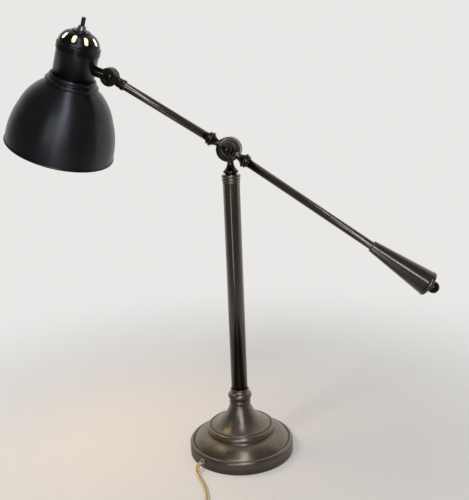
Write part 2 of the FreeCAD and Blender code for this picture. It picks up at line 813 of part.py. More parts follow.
arm_lead = rod(lead_radius, rod_start + 1.0, shade_rod_end - 1.0)
arm_lead.translate(V(lead_radius + LEAD_PLAY + rod_wall - rod_radius, 0, 0))
save("arm_lead", placed(arm_lead, shade_arm_frame))

cord_radius = cord_width / 2
cord_floor = cord_radius
coil_outer_radius = coil_middle_radius + coil_pitch * (coil_rings - 0.5) / 2
coil_left = coil_centre_x - coil_outer_radius
cord_points = [
    (exit_point.x, exit_point.y, exit_point.z),
    (-60.1, -79.8, 11.2),
    (-61.0, -87.0, 8.6),
    (-58.0, -95.5, 5.4),
    (-51.5, -105.5, cord_floor),
    (-42.5, -121.0, cord_floor),
    (-34.0, -141.0, cord_floor),
    (-29.0, -162.0, cord_floor),
    (-25.5, -184.0, cord_floor),
    (coil_left, -208.0, cord_floor),
    (coil_left, coil_centre_y + cord_width, cord_floor),
]
cord, cord_length = tube(cord_points, cord_radius, "mains_cord")
save("mains_cord", cord)


def half_turn(edges, here, radius, heading, rise_by=0.0):
    """Add a half turn anticlockwise from here, heading -Y (-1) or +Y (+1). A
    level one is two quarter arcs; a climbing one is a biarc with level ends."""
    there = here + V(-2 * radius * heading, 0, rise_by)
    reach = math.sqrt(4 * radius ** 2 + rise_by ** 2) / 2
    top = (here + there) * 0.5 + V(0, heading * reach, 0)
    for start, end, away in ((here, top, heading), (there, top, heading)):
        chord = end - start
        tangent = V(0, away, 0)
        side = (chord - tangent * chord.dot(tangent)).normalize()
        bend = chord.Length ** 2 / (2 * chord.dot(side))
        centre = start + side * bend
        between = ((start - centre).normalize() + (end - centre).normalize()).normalize()
        middle = centre + between * bend
        if start is here:
            edges.append(Part.Arc(start, middle, end).toShape())
        else:
            edges.append(Part.Arc(end, middle, start).toShape())
    return there


def cord_coil():
    """The put-away lead: a spiral in on the surface, a climb where it
    reverses, and a spiral out on top, as one tube."""
    step = coil_pitch / 2
    turns_in = 2 * coil_rings - 1
    here = V(coil_left, coil_centre_y + cord_width, cord_floor)
    there = V(coil_left, coil_centre_y, cord_floor)
    edges = [Part.LineSegment(here, there).toShape()]
    here = there
    heading = -1
    radius = coil_outer_radius
    for number in range(turns_in):
        here = half_turn(edges, here, radius, heading)
        heading = -heading
        radius -= step
    here = half_turn(edges, here, radius, heading, coil_pitch)
    heading = -heading
    for number in range(turns_in - 1):
        radius += step
        here = half_turn(edges, here, radius, heading)
        heading = -heading
    there = here + V(0, -cord_width, 0)
    edges.append(Part.LineSegment(here, there).toShape())
    path = Part.Wire(edges)
    circle = Part.Wire(Part.makeCircle(cord_radius, edges[0].Vertexes[0].Point, V(0, -1, 0)))
    solid = path.makePipeShell([circle], True, False)
    points = path.discretize(Distance=2.0)
    apart = 2 * math.pi * coil_outer_radius / 4
    least = min((points[i] - points[j]).Length for i in range(len(points))
                for j in range(i + int(apart / 2.0), len(points)))
    print("cord_coil length", round(path.Length, 1), "least gap", round(least - cord_width, 2),
          "volume ratio", round(solid.Volume / (math.pi * cord_radius ** 2 * path.Length), 4))
    return solid, there, path.Length


coil, plug_entry, coil_length = cord_coil()
save("cord_coil", coil)
print("lead in all", round(cord_length + coil_length, 1))

plug_width = 18.0
plug_thickness = 2 * (plug_entry.z - 2 * cord_radius) - 0.2
plug_length = 27.0
relief_length = 13.0
blade_spacing = 12.7
blade_width = 6.3
blade_thickness = 1.5
blade_length = 16.0
body_start = plug_entry.y - relief_length
body = Part.makeBox(plug_width, plug_length, plug_thickness,
                    V(plug_entry.x - plug_width / 2, body_start - plug_length, plug_entry.z - plug_thickness / 2))
upright = [e for e in body.Edges if abs(e.Vertexes[0].Z - e.Vertexes[1].Z) > 1]
body = body.makeFillet(5.0, upright)
body = body.makeFillet(1.2, [e for e in body.Edges if abs(e.CenterOfMass.z - plug_entry.z) > 1])
relief = Part.makeCone(cord_radius + 0.4, cord_radius + 1.2, relief_length + 2.0, plug_entry, V(0, -1, 0))
relief = relief.common(Part.makeBox(60, 60, plug_thickness,
                                    V(plug_entry.x - 30, plug_entry.y - 50, plug_entry.z - plug_thickness / 2)))
save("plug_body", body.fuse(relief).removeSplitter())

blades = []
for side in (-1, 1):
    blade = Part.makeBox(blade_thickness, blade_length, blade_width,
                         V(plug_entry.x + side * blade_spacing / 2 - blade_thickness / 2,
                           body_start - plug_length - blade_length, plug_entry.z - blade_width / 2))
    tip = [e for e in blade.Edges if abs(e.CenterOfMass.y - (body_start - plug_length - blade_length)) < 0.01
           and abs(e.Vertexes[0].X - e.Vertexes[1].X) > 1]
    blades.append(blade.makeFillet(1.5, tip))
save("plug_blades", Part.makeCompound(blades))
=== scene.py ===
import bpy
import bmesh
import math
import numpy as np
from mathutils import Matrix


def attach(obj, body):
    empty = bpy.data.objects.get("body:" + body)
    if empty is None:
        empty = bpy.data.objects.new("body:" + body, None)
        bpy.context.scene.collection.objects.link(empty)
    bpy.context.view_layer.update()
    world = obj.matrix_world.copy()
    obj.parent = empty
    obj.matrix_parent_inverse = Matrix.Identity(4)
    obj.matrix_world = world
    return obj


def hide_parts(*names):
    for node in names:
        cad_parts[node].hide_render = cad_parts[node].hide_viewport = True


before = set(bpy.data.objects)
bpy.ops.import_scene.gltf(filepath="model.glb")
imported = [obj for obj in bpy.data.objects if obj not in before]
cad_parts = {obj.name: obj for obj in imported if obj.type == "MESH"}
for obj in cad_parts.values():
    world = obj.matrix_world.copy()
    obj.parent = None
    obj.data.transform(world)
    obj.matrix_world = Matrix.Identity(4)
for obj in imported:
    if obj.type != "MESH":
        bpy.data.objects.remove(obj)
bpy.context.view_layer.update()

# ---- Viewing angle ----------------------------------------------------------
# The picture's own viewpoint: a long way in front, a little to the right and
# above the hub, looking slightly down, with a small roll of the hand.

yaw, pitch, roll = math.radians(9.556), math.radians(12.096), math.radians(-2.319)
forward = np.array([-math.sin(yaw) * math.cos(pitch), math.cos(yaw) * math.cos(pitch),
                    -math.sin(pitch)])
level = np.array([math.cos(yaw), math.sin(yaw), 0.0])
above = np.cross(level, forward)
right = math.cos(roll) * level + math.sin(roll) * above
up = -math.sin(roll) * level + math.cos(roll) * above
camera = bpy.data.objects.new("camera", bpy.data.cameras.new("camera"))
camera.data.sensor_width = 36.0
camera.data.lens = 36.0 * 640.0 / 500.0
camera.data.clip_start = 0.01
camera.data.clip_end = 30.0
camera.matrix_world = Matrix([
    [right[0], up[0], -forward[0], 0.17046],
    [right[1], up[1], -forward[1], -1.00766],
    [right[2], up[2], -forward[2], 0.57282],
    [0, 0, 0, 1],
])
bpy.context.scene.collection.objects.link(camera)
bpy.context.scene.camera = camera

# ---- Lead, laid out and coiled ----------------------------------------------
# Flat twin lead: two stranded conductors side by side in clear gold vinyl with
# a groove down the middle. It drops from the base's bushing, runs forward on
# the surface lying flat, and the put-away rest stands on edge in a coil.


def linear(hex_code):
    """sRGB hex code to linear red, green, blue and alpha 1: c/12.92 up to
    0.04045, and ((c + 0.055) / 1.055) to the power 2.4 above it."""
    c = np.array([int(hex_code[i:i + 2], 16) for i in (1, 3, 5)]) / 255.0
    c = np.where(c <= 0.04045, c / 12.92, ((c + 0.055) / 1.055) ** 2.4)
    return (*[float(x) for x in c], 1.0)


def add_node(material, kind, settings=(), links=()):
    """Adds a node, sets its sockets or properties by name, and links its
    inputs from (input, node, output)."""
    node = material.node_tree.nodes.new(kind)
    for name, value in dict(settings).items():
        if isinstance(name, int) or name in node.inputs:
            node.inputs[name].default_value = value
        else:
            setattr(node, name, value)
    for name, other, output in links:
        material.node_tree.links.new(node.inputs[name], other.outputs[output])
    return node


def new_material(name):
    """A node material with no nodes yet."""
    material = bpy.data.materials.new(name)
    material.use_nodes = True
    material.node_tree.nodes.clear()
    return material


def grid_piece(name, points, wrap_rows, wrap_columns, grain):
    """A mesh on a grid of points (rows, columns, 3) in metres, with quads
    between neighbours and round the ends that wrap. UV is the place on the
    grid, and grain a point attribute that patterns follow. Points that meet at
    a pole become one, and the faces are turned outwards."""
    rows, columns = points.shape[:2]
    i = np.arange(rows if wrap_rows else rows - 1)
    j = np.arange(columns if wrap_columns else columns - 1)
    i, j = [a.ravel() for a in np.meshgrid(i, j, indexing="ij")]
    i_next, j_next = (i + 1) % rows, (j + 1) % columns
    quads = np.stack([i * columns + j, i * columns + j_next, i_next * columns + j_next,
                      i_next * columns + j], 1)
    mesh = bpy.data.meshes.new(name)
    mesh.from_pydata(points.reshape(-1, 3).tolist(), [], quads.tolist())
    across, along = 1.0 / len(set(j.tolist())), 1.0 / len(set(i.tolist()))
    corners = np.stack([np.stack([(j + dj) * across, (i + di) * along], 1)
                        for di, dj in ((0, 0), (0, 1), (1, 1), (1, 0))], 1)
    mesh.uv_layers.new(name="UVMap").data.foreach_set("uv", corners.astype(np.float32).ravel())
    mesh.attributes.new("grain", "FLOAT_VECTOR", "POINT").data.foreach_set("vector",
                                                                           grain.astype(np.float32).ravel())
    work = bmesh.new()
    work.from_mesh(mesh)
    bmesh.ops.remove_doubles(work, verts=work.verts, dist=1e-7)
    bmesh.ops.recalc_face_normals(work, faces=work.faces)
    work.to_mesh(mesh)
    work.free()
    mesh.shade_smooth()
    piece = bpy.data.objects.new(name, mesh)
    bpy.context.scene.collection.objects.link(piece)
    return piece


lead_width = 0.0076
coil_left = 0.025 - (0.0382 + 0.0083 * 3.5 / 2)
coil_y = -0.243
lead_route = [
    (-0.0555, -0.0736, 0.0115),
    (-0.0601, -0.0798, 0.0112),
    (-0.0610, -0.0870, 0.0086),
    (-0.0580, -0.0955, 0.0047),
    (-0.0515, -0.1055, 0.0021),
    (-0.0425, -0.1210, 0.0021),
    (-0.0340, -0.1410, 0.0021),
    (-0.0290, -0.1620, 0.0021),
    (-0.0255, -0.1840, 0.0026),
    (coil_left, -0.2080, 0.0036),
    (coil_left, coil_y + 0.0076, 0.0041),
]


def coil_route(middle, turn_gap, rings, layer_low, layer_high):
    """Half turns k = 0, 1, ... whose radius drops by half the gap each time to
    the climbing one, and grows again on top: each is centre + R (cos a, sin a)
    with a going on by a half turn, and R divided by cos 15 degrees because
    the smooth line runs inside its points by that share."""
    turns = 2 * rings - 1
    k = np.arange(2 * turns)
    radius = middle + turn_gap * (rings - 0.5) / 2 - turn_gap / 2 * np.minimum(k, 2 * turns - k)
    heading = np.where(k % 2 == 0, -1.0, 1.0)
    here = coil_left + np.concatenate([[0.0], np.cumsum(-2 * radius * heading)])
    centre = here[:-1] - radius * heading
    part = (np.arange(6) + 0.5) / 6
    a = np.where(heading < 0, np.pi, 0.0)[:, None] + np.pi * part[None, :]
    reach = radius[:, None] / math.cos(math.pi / 12)
    climb = np.where(k < turns, 0.0, 1.0)[:, None] + np.where(k == turns, 1.0, 0.0)[:, None] * (
        (1 - np.cos(np.pi * part))[None, :] / 2 - 1.0)
    points = np.stack([centre[:, None] + reach * np.cos(a), coil_y + reach * np.sin(a),
                       layer_low + (layer_high - layer_low) * climb], -1)
    return points.reshape(-1, 3), here[-1]


coil_points, plug_x = coil_route(0.0382, 0.0083, 4, 0.0039, 0.0121)
plug_entry = np.array([plug_x, coil_y - lead_width, 0.0121])
lead_points = np.vstack([lead_route, [(coil_left, coil_y + 0.002, 0.0039)], coil_points,
                         [(plug_x, coil_y - 0.002, 0.0121)], [plug_entry]])
lead_curve = bpy.data.curves.new("lead_line", "CURVE")
lead_curve.dimensions = "3D"
lead_curve.resolution_u = 8
spline = lead_curve.splines.new("NURBS")
spline.points.add(len(lead_points) - 1)
spline.points.foreach_set("co", np.hstack([lead_points,
                                           np.ones((len(lead_points),
                                                    1))]).astype(np.float32).ravel())
spline.order_u = 3
spline.use_endpoint_u = True
lead_line = bpy.data.objects.new("lead_line", lead_curve)
bpy.context.scene.collection.objects.link(lead_line)
bpy.context.view_layer.update()
line_mesh = bpy.data.meshes.new_from_object(lead_line)
line = np.array([v.co for v in line_mesh.vertices])
bpy.data.objects.remove(lead_line)
gaps = np.linalg.norm(np.diff(line, axis=0), axis=1)
line = line[np.concatenate([[True], gaps > 1e-6])]
line_length = np.concatenate([[0.0], np.cumsum(np.linalg.norm(np.diff(line, axis=0), axis=1))])


def swept_lead(path, distance, edge_from, edge_to, flat_from):
    """P(s, b) = path(s) + x(b) side(s) + y(b) over(s): the section is two
    round lobes side by side, 1.9 mm in radius, joined across the groove, and
    it turns from lying flat to standing on edge between edge_from and edge_to,
    and back to flat over the last stretch, from flat_from on."""
    ahead = np.gradient(path, axis=0)
    ahead /= np.linalg.norm(ahead, axis=1)[:, None]
    side = np.cross([0.0, 0.0, 1.0], ahead)
    side /= np.linalg.norm(side, axis=1)[:, None]
    over = np.cross(ahead, side)
    on = np.clip((distance - edge_from) / (edge_to - edge_from), 0, 1)
    off = np.clip((distance - flat_from) / (distance[-1] - flat_from), 0, 1)
    turn = np.pi / 2 * (on * on * (3 - 2 * on) - off * off * (3 - 2 * off))
    lobe = np.radians([-128, -96, -64, -32, 0, 32, 64, 96, 128])
    x = np.concatenate([0.0019 + 0.0019 * np.cos(lobe), -0.0019 - 0.0019 * np.cos(lobe)])
    y = np.concatenate([0.0019 * np.sin(lobe), -0.0019 * np.sin(lobe)])
    along_side = x * np.cos(turn)[:, None] - y * np.sin(turn)[:, None]
    along_over = x * np.sin(turn)[:, None] + y * np.cos(turn)[:, None]
    points = path[:, None] + along_side[..., None] * side[:, None] + along_over[..., None] * over[:,
                                                                                                  None]
    tip = [path[:1, None] + 0 * points[:1], path[-1:, None] + 0 * points[-1:]]
    points = np.concatenate([tip[0], points, tip[1]])
    distance = np.concatenate([distance[:1], distance, distance[-1:]])
    grain = np.stack(np.broadcast_arrays(distance[:, None] * 1000, x[None] * 1000, y[None] * 1000),
                     -1)
    return points, grain


edge_start = line_length[np.argmin(np.linalg.norm(line - lead_route[8], axis=1))]
edge_end = line_length[np.argmin(np.linalg.norm(line - lead_points[11], axis=1))]
lead_grid, lead_grain = swept_lead(line, line_length, edge_start, edge_end, line_length[-1] - 0.03)
lead = grid_piece("twin_lead", lead_grid, False, True, lead_grain)

# Clear gold vinyl: the copper strands show through as fine bright lines, and
# the skin is smooth and glossy, with a darker line in the groove.
gold_vinyl = new_material("clear_gold_vinyl")
grain_place = add_node(gold_vinyl, "ShaderNodeAttribute", {"attribute_name": "grain"})
grain_parts = add_node(gold_vinyl, "ShaderNodeSeparateXYZ",
                       links=[("Vector", grain_place, "Vector")])
groove_reach = add_node(gold_vinyl, "ShaderNodeMath", {"operation": "ABSOLUTE"},
                        [(0, grain_parts, "Y")])
groove = add_node(gold_vinyl, "ShaderNodeMapRange",
                  {"From Min": 0.2, "From Max": 1.5, "interpolation_type": "SMOOTHSTEP"},
                  [("Value", groove_reach, "Value")])
strand_place = add_node(gold_vinyl, "ShaderNodeVectorMath", {"operation": "MULTIPLY"},
                        [(0, grain_place, "Vector")])
strand_place.inputs[1].default_value = (0.12, 2.2, 2.2)
strands = add_node(gold_vinyl, "ShaderNodeTexNoise",
                   {"Scale": 1.0, "Detail": 3.0, "Roughness": 0.6},
                   [("Vector", strand_place, "Vector")])
strand_colour = add_node(gold_vinyl, "ShaderNodeValToRGB", links=[("Fac", strands, "Fac")])
strand_colour.color_ramp.elements[0].position = 0.35
strand_colour.color_ramp.elements[0].color = linear("#a98d5c")
strand_colour.color_ramp.elements[1].position = 0.62
strand_colour.color_ramp.elements[1].color = linear("#e6d8b0")
vinyl_colour = add_node(gold_vinyl, "ShaderNodeMix", {"data_type": "RGBA"})
vinyl_colour.inputs[6].default_value = linear("#6f5d3d")
gold_vinyl.node_tree.links.new(vinyl_colour.inputs[0], groove.outputs["Result"])
gold_vinyl.node_tree.links.new(vinyl_colour.inputs[7], strand_colour.outputs["Color"])
vinyl_bump = add_node(gold_vinyl, "ShaderNodeBump", {"Strength": 0.15, "Distance": 0.0003},
                      [("Height", strands, "Fac")])
vinyl_shader = add_node(gold_vinyl, "ShaderNodeBsdfPrincipled",
                        {"Roughness": 0.28, "IOR": 1.53, "Coat Weight": 0.5,
                         "Coat Roughness": 0.12},
                        [("Normal", vinyl_bump, "Normal")])
gold_vinyl.node_tree.links.new(vinyl_shader.inputs["Base Color"], vinyl_colour.outputs[2])
add_node(gold_vinyl, "ShaderNodeOutputMaterial", links=[("Surface", vinyl_shader, "BSDF")])
lead.data.materials.append(gold_vinyl)
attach(lead, "stand")
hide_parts("mains_cord", "cord_coil")

# ---- Plug -------------------------------------------------------------------
# Moulded two-blade plug in the lead's own gold vinyl: a ribbed relief that
# widens into a flat rounded body, with two bright brass blades.

relief_length = 0.013
plug_body_length = 0.027


def moulded_plug(entry, rows=72, columns=48):
    """P(s, b) = entry - s ahead + w(s) |cos b|^0.6 side + h(s) |sin b|^0.6 up,
    each with its own sign. Half width w and half height h grow smoothly from
    the lead's to the body's, round off at the far end, and carry three ribs
    on the relief and three shallow finger grips on the body."""
    s = np.concatenate([[0.0], np.linspace(0.0, 1.0, rows),
                        [1.0]]) * (relief_length + plug_body_length)
    grow = np.clip((s - 0.6 * relief_length) / (0.75 * relief_length), 0, 1)
    grow = grow * grow * (3 - 2 * grow)
    end = np.clip((relief_length + plug_body_length - s) / 0.004, 0, 1)
    end = np.sqrt(1 - (1 - end) ** 2) * 0.35 + 0.65
    ribs = 0.00035 * np.sin(s / 0.0036 * 2 * np.pi) * (s < 0.75 * relief_length)
    grips = 0.0004 * np.cos((s - relief_length - 0.012) / 0.0045 * 2 * np.pi) * (np.abs(s - relief_length - 0.012) < 0.008)
    half_width = (0.0043 + (0.0088 - 0.0043) * grow) * end + ribs
    half_height = (0.0026 + (0.0043 - 0.0026) * grow) * end + ribs * 0.6 - grips
    half_width[[0, -1]] = half_height[[0, -1]] = 0.0
    b = 2 * np.pi * np.arange(columns) / columns
    side = np.sign(np.cos(b)) * np.abs(np.cos(b)) ** 0.6
    over = np.sign(np.sin(b)) * np.abs(np.sin(b)) ** 0.6
    return np.stack([entry[0] + half_width[:, None] * side, entry[1] - s[:, None] + 0 * side,
                     entry[2] + half_height[:, None] * over], -1)


plug_grid = moulded_plug(plug_entry)
plug_grain = np.stack([plug_grid[..., 1] * 100, plug_grid[..., 0] * 0 + 2.0,
                       plug_grid[..., 2] * 200], -1)
plug = grid_piece("plug_moulding", plug_grid, False, True, plug_grain)
plug.data.materials.append(gold_vinyl)
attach(plug, "stand")
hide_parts("plug_body")

# Drawn brass strip, bright and lightly scratched along its length.
brass = new_material("bright_brass")
brass_place = add_node(brass, "ShaderNodeTexCoord")
brass_scratch = add_node(brass, "ShaderNodeMapping", links=[("Vector", brass_place, "Object")])
brass_scratch.inputs["Scale"].default_value = (900.0, 60.0, 900.0)
brass_noise = add_node(brass, "ShaderNodeTexNoise", {"Scale": 1.0, "Detail": 3.0},
                       [("Vector", brass_scratch, "Vector")])
brass_rough = add_node(brass, "ShaderNodeMapRange", {"To Min": 0.18, "To Max": 0.36},
                       [("Value", brass_noise, "Fac")])
brass_bump = add_node(brass, "ShaderNodeBump", {"Strength": 0.1, "Distance": 0.0001},
                      [("Height", brass_noise, "Fac")])
brass_shader = add_node(brass, "ShaderNodeBsdfPrincipled",
                        {"Base Color": linear("#d9bd76"), "Metallic": 1.0},
                        [("Roughness", brass_rough, "Result"), ("Normal", brass_bump, "Normal")])
add_node(brass, "ShaderNodeOutputMaterial", links=[("Surface", brass_shader, "BSDF")])
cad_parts["plug_blades"].data.materials.clear()
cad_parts["plug_blades"].data.materials.append(brass)

# ---- Base -------------------------------------------------------------------
# Spun steel cover over a cast-iron weight: upright wall, rolled rim bead, broad
# sloping step, second bead and a trumpet flare up to the column, brushed round
# and round and plated in dark antique nickel.


def bend_points(start, through, end, count=14):
    """Points on the circle through three (r, z) points, from the first to the
    last: centre from the two perpendicular bisectors, then equal angles."""
    p, q, r = [np.array(x, float) for x in (start, through, end)]
    centre = np.linalg.solve(2 * np.array([q - p, r - p]), np.array([q @ q - p @ p, r @ r - p @ p]))
    a, b, c = [math.atan2(*(x - centre)[::-1]) for x in (p, q, r)]
    span = (c - a) % (2 * math.pi)
    if (b - a) % (2 * math.pi) > span:
        span -= 2 * math.pi
    angle = a + span * np.linspace(0, 1, count)
    return centre + np.linalg.norm(p - centre) * np.stack([np.cos(angle), np.sin(angle)], 1)


def outline(start, *steps):
    """(r, z) points in millimetres: a pair is a straight line to there, and
    four numbers an arc through the first pair to the second."""
    points = [np.array([start], float)]
    for step in steps:
        if len(step) == 4:
            points.append(bend_points(points[-1][-1], step[:2], step[2:])[1:])
        else:
            points.append(np.array([step], float))
    return np.vstack(points)


def softened(points, reach=0.35, sharper_than=18.0):
    """Every corner sharper than the given angle becomes a small curve: the
    corner p is cut at p + e and p + f, e and f at most the reach long, and
    replaced by (1-t)^2 (p+e) + 2t(1-t) p + t^2 (p+f), with a supporting point
    on each side so that the flats stay flat."""
    ahead = np.roll(points, -1, 0) - points
    size = np.linalg.norm(ahead, axis=1)
    ahead = ahead / np.maximum(size, 1e-9)[:, None]
    back, back_size = -np.roll(ahead, 1, 0), np.roll(size, 1)
    turn = np.degrees(np.arccos(np.clip(-(ahead * back).sum(1), -1, 1)))
    turn[[0, -1]] = 0.0
    t = np.linspace(0, 1, 5)[:, None]
    made = []
    for p, f, e, f_size, e_size, angle in zip(points, ahead, back, size, back_size, turn):
        if angle < sharper_than:
            made.append(p[None])
            continue
        e = e * min(reach, 0.3 * e_size)
        f = f * min(reach, 0.3 * f_size)
        made.append(p + 1.4 * e[None])
        made.append((1 - t) ** 2 * (p + e) + 2 * t * (1 - t) * p + t ** 2 * (p + f))
        made.append(p + 1.4 * f[None])
    return np.vstack(made)


def turned(name, profile, origin=(0, 0, 0), axes=np.eye(3), columns=160):
    """P(s, a) = origin + axes (r(s) cos a, r(s) sin a, z(s)): an (r, z) profile
    in millimetres turned once round. Its grain is (3 cos a, 3 sin a, s), with s
    the length along the profile in millimetres, so that tool marks run round
    and have no seam."""
    closed = bool(np.allclose(profile[0], profile[-1]))
    if closed:
        profile = profile[:-1]
    r, z = profile.T / 1000
    a = 2 * np.pi * np.arange(columns) / columns
    local = np.stack([r[:, None] * np.cos(a), r[:, None] * np.sin(a), z[:, None] + 0 * a], -1)
    points = np.array(origin) + local @ np.array(axes).T
    run = np.concatenate([[0.0], np.cumsum(np.linalg.norm(np.diff(profile, axis=0), axis=1))])
    grain = np.stack([3 * np.cos(a) + 0 * run[:, None], 3 * np.sin(a) + 0 * run[:, None],
                      run[:, None] + 0 * a], -1)
    return grid_piece(name, points, closed, True, grain)


def brushed_metal(name, hex_dark, hex_light, rough, mark_width, depth, stretch, wear=0.5):
    """Metal brushed round and round: fine marks at mark_width millimetres
    across the brushing, slow cloudy differences in tone, and a highlight that
    stretches across the marks."""
    metal = new_material(name)
    place = add_node(metal, "ShaderNodeAttribute", {"attribute_name": "grain"})
    across = add_node(metal, "ShaderNodeVectorMath", {"operation": "MULTIPLY"},
                      [(0, place, "Vector")])
    across.inputs[1].default_value = (0.35, 0.35, 1.0 / mark_width)
    marks = add_node(metal, "ShaderNodeTexNoise", {"Scale": 1.0, "Detail": 4.0, "Roughness": 0.7},
                     [("Vector", across, "Vector")])
    object_place = add_node(metal, "ShaderNodeTexCoord")
    clouds = add_node(metal, "ShaderNodeTexNoise",
                      {"Scale": 42.0, "Detail": 3.0, "Roughness": 0.55},
                      [("Vector", object_place, "Object")])
    tone = add_node(metal, "ShaderNodeMath", {"operation": "MULTIPLY_ADD", 1: wear},
                    [(0, clouds, "Fac"), (2, marks, "Fac")])
    colour = add_node(metal, "ShaderNodeValToRGB", links=[("Fac", tone, "Value")])
    colour.color_ramp.elements[0].position = 0.45 + 0.3 * wear
    colour.color_ramp.elements[0].color = linear(hex_dark)
    colour.color_ramp.elements[1].position = 0.6 + 0.6 * wear
    colour.color_ramp.elements[1].color = linear(hex_light)
    roughness = add_node(metal, "ShaderNodeMapRange",
                         {"To Min": rough * 0.95, "To Max": rough * 1.06},
                         [("Value", marks, "Fac")])
    bump = add_node(metal, "ShaderNodeBump", {"Strength": 0.25, "Distance": depth},
                    [("Height", marks, "Fac")])
    tangent = add_node(metal, "ShaderNodeTangent", {"direction_type": "UV_MAP", "uv_map": "UVMap"})
    shader = add_node(metal, "ShaderNodeBsdfPrincipled",
                      {"Metallic": 1.0, "Anisotropic": stretch, "Anisotropic Rotation": 0.25},
                      [("Base Color", colour, "Color"), ("Roughness", roughness, "Result"),
                       ("Normal", bump, "Normal"), ("Tangent", tangent, "Tangent")])
    add_node(metal, "ShaderNodeOutputMaterial", links=[("Surface", shader, "BSDF")])
    return metal


# Antique nickel, brushed on the lathe: warm grey, satin, with ring-shaped marks.
antique_nickel = brushed_metal("antique_nickel", "#746b5e", "#8f8576", 0.33, 0.5, 0.000004, 0.6)

base_profile = softened(outline(
    (88.9, 0.8),
    (88.9, 16.5),
    (87.5, 21.1, 83.6, 22.4),
    (82.6, 20.4),
    (81.4, 22.8),
    (71.5, 32.0, 59.5, 37.0),
    (58.5, 38.2),
    (58.5, 40.5),
    (56.9, 46.0, 53.0, 48.0),
    (51.8, 46.2),
    (50.8, 48.6),
    (27.0, 66.0, 17.7, 84.0),
    (17.3, 86.0),
    (18.1, 89.0, 17.3, 92.0),
    (5.05, 92.0),
    (5.05, 89.6),
    (15.9, 89.6),
    (15.9, 84.0),
    (25.6, 64.6, 49.4, 46.6),
    (57.1, 40.5),
    (57.1, 36.6),
    (70.1, 30.6, 81.2, 20.4),
    (87.5, 15.5),
    (87.5, 0.8),
    (88.9, 0.8),
))
base_cover = turned("base_cover", base_profile, columns=256)
base_cover.data.materials.append(antique_nickel)
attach(base_cover, "stand")
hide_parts("base_shell")


def mottled(name, noise, colours, shader, rough=None, bump=None, ends=(0.0, 1.0)):
    """A material whose colour runs between two hex values with a noise in Object
    space. Its roughness range and its bump, as strength and metres, follow the
    same noise. ends are the noise values at which the two colours stand."""
    material = new_material(name)
    place = add_node(material, "ShaderNodeTexCoord")
    spots = add_node(material, "ShaderNodeTexNoise", noise, [("Vector", place, "Object")])
    colour = add_node(material, "ShaderNodeValToRGB", links=[("Fac", spots, "Fac")])
    for element, hex_code, end in zip(colour.color_ramp.elements, colours, ends):
        element.color, element.position = linear(hex_code), end
    links = [("Base Color", colour, "Color")]
    if rough:
        spread = add_node(material, "ShaderNodeMapRange",
                          {"To Min": rough[0], "To Max": rough[1]}, [("Value", spots, "Fac")])
        links.append(("Roughness", spread, "Result"))
    if bump:
        relief = add_node(material, "ShaderNodeBump",
                          {"Strength": bump[0], "Distance": bump[1]}, [("Height", spots, "Fac")])
        links.append(("Normal", relief, "Normal"))
    surface = add_node(material, "ShaderNodeBsdfPrincipled", shader, links)
    add_node(material, "ShaderNodeOutputMaterial", links=[("Surface", surface, "BSDF")])
    return material


# Felt pad: dark wool felt, die cut, glued under the weight.
felt = mottled("wool_felt", {"Scale": 900.0, "Detail": 6.0, "Roughness": 0.8},
               ("#1c1b1a", "#3a3836"), {"Roughness": 0.95, "Sheen Weight": 0.3}, bump=(0.6, 0.0004))

# Cast iron: black paint over a rough sand-cast skin, out of sight in the base.
iron = mottled("painted_cast_iron", {"Scale": 400.0, "Detail": 5.0},
               ("#191817", "#302e2c"), {"Roughness": 0.6}, bump=(0.5, 0.0006))

# Zinc plate on the hidden nuts, washers and threaded pipe: pale, spangled.
zinc = mottled("zinc_plate", {"Scale": 260.0, "Detail": 4.0},
               ("#8f8f8c", "#b9b8b2"), {"Metallic": 1.0, "Roughness": 0.32}, bump=(0.15, 0.0001))

for node_name, finish in (("base_pad", felt), ("base_weight", iron), ("base_washer", zinc),
                          ("base_nut", zinc), ("threaded_pipe", zinc)):
    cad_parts[node_name].data.materials.clear()
    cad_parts[node_name].data.materials.append(finish)

# ---- Bushing and its lead ---------------------------------------------------
# Snap-in vinyl bushing in the base's wall, a rounded collar with a bore that
# the lead comes out of, in clear grey vinyl.

out = math.radians(-127.0)
outwards = np.array([math.cos(out), math.sin(out), 0.0])
sideways = np.array([-math.sin(out), math.cos(out), 0.0])
bushing_axes = np.stack([sideways, [0.0, 0.0, 1.0], outwards], 1)
bushing_profile = softened(outline(
    (2.4, 84.5), (4.7, 84.5), (4.7, 89.2), (5.9, 89.2), (5.9, 90.6), (5.3, 91.7, 4.0, 91.9), (2.4,
                                                                                              91.7), (2.4, 84.5),
), reach=0.3)
bushing = turned("lead_bushing", bushing_profile, origin=(0, 0, 0.0115), axes=bushing_axes,
                 columns=64)
grey_vinyl = mottled("clear_grey_vinyl", {"Scale": 300.0, "Detail": 3.0},
                     ("#7d8083", "#a9abad"), {"Roughness": 0.25, "IOR": 1.53, "Transmission Weight": 0.35})
bushing.data.materials.append(grey_vinyl)
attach(bushing, "stand")
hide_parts("cord_bushing")

# ---- Column -----------------------------------------------------------------
# Steel tube between two turned collars: the lower one has a fat bead under a
# small ring, the upper one steps in under a short flared cap.

